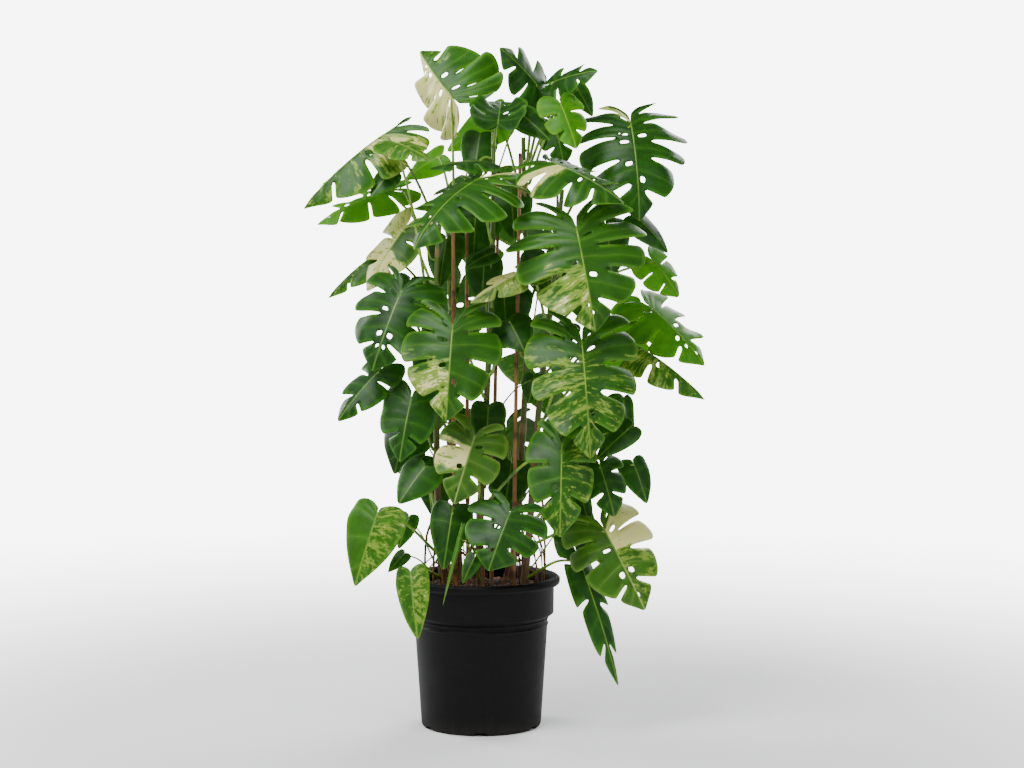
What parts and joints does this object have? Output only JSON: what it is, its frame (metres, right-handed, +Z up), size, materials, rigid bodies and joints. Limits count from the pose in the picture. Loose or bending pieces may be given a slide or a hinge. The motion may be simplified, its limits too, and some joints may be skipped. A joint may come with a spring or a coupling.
{
  "type": "potted variegated monstera",
  "caption": "Tall potted monstera with split, holed and cream-marbled leaves climbing bamboo canes in a black nursery pot.",
  "frame": {"origin": "middle of the pot's underside, on the surface that it stands on", "axes": "+Z up along the stems, -Y towards the front of the plant, +X to the right as seen from the front"},
  "size_m": [1.0586, 0.6242, 1.7984],
  "materials": {
    "pot_plastic": "satin",
    "potting_soil": "matte",
    "bamboo": "satin",
    "vine_stem": "satin",
    "leaf_green": "satin",
    "leaf_bright": "satin",
    "leaf_marbled": "satin",
    "leaf_cream": "satin"
  },
  "bodies": {
    "root": {"pot": "pot_plastic", "soil": "potting_soil", "cane_left": "bamboo", "cane_right": "bamboo", "cane_middle": "bamboo", "cane_back": "bamboo", "vine_left": "vine_stem", "vine_right": "vine_stem", "vine_middle": "vine_stem", "vine_back_left": "vine_stem", "vine_back_right": "vine_stem", "leaf_crown_left": "leaf_marbled", "leaf_crown_cup": "leaf_green", "leaf_crown_glow": "leaf_bright", "leaf_crown_top": "leaf_green", "leaf_crown_right": "leaf_green", "leaf_crown_split": "leaf_bright", "leaf_centre_shade": "leaf_green", "leaf_shoulder_right": "leaf_green", "leaf_shoulder_left": "leaf_marbled", "leaf_left_drape": "leaf_bright", "leaf_left_upper": "leaf_marbled", "leaf_left_glow": "leaf_bright", "leaf_top_shade": "leaf_green", "leaf_centre_top": "leaf_marbled", "leaf_right_graze": "leaf_marbled", "leaf_main_right": "leaf_marbled", "leaf_right_edge": "leaf_bright", "leaf_right_far": "leaf_bright", "leaf_right_arch": "leaf_marbled", "leaf_right_glow": "leaf_bright", "leaf_second_right": "leaf_marbled", "leaf_right_drip": "leaf_green", "leaf_right_low_shade": "leaf_green", "leaf_centre_hanging": "leaf_marbled", "leaf_low_right": "leaf_cream", "leaf_trailing": "leaf_green", "leaf_left_cream": "leaf_cream", "leaf_left_narrow": "leaf_marbled", "leaf_left_gloss": "leaf_green", "leaf_left_gloss_low": "leaf_green", "leaf_left_oval": "leaf_green", "leaf_centre_left": "leaf_marbled", "leaf_centre_low": "leaf_cream", "leaf_left_mid": "leaf_green", "leaf_left_heart": "leaf_marbled", "leaf_low_oval": "leaf_green", "leaf_front_low": "leaf_green", "leaf_rim": "leaf_marbled", "leaf_centre_round": "leaf_green", "leaf_centre_curled": "leaf_cream", "leaf_back_1": "leaf_marbled", "leaf_back_2": "leaf_green", "leaf_back_3": "leaf_green", "leaf_back_4": "leaf_marbled", "leaf_back_5": "leaf_green", "leaf_back_6": "leaf_green", "leaf_back_7": "leaf_marbled"}
  },
  "joints": []
}
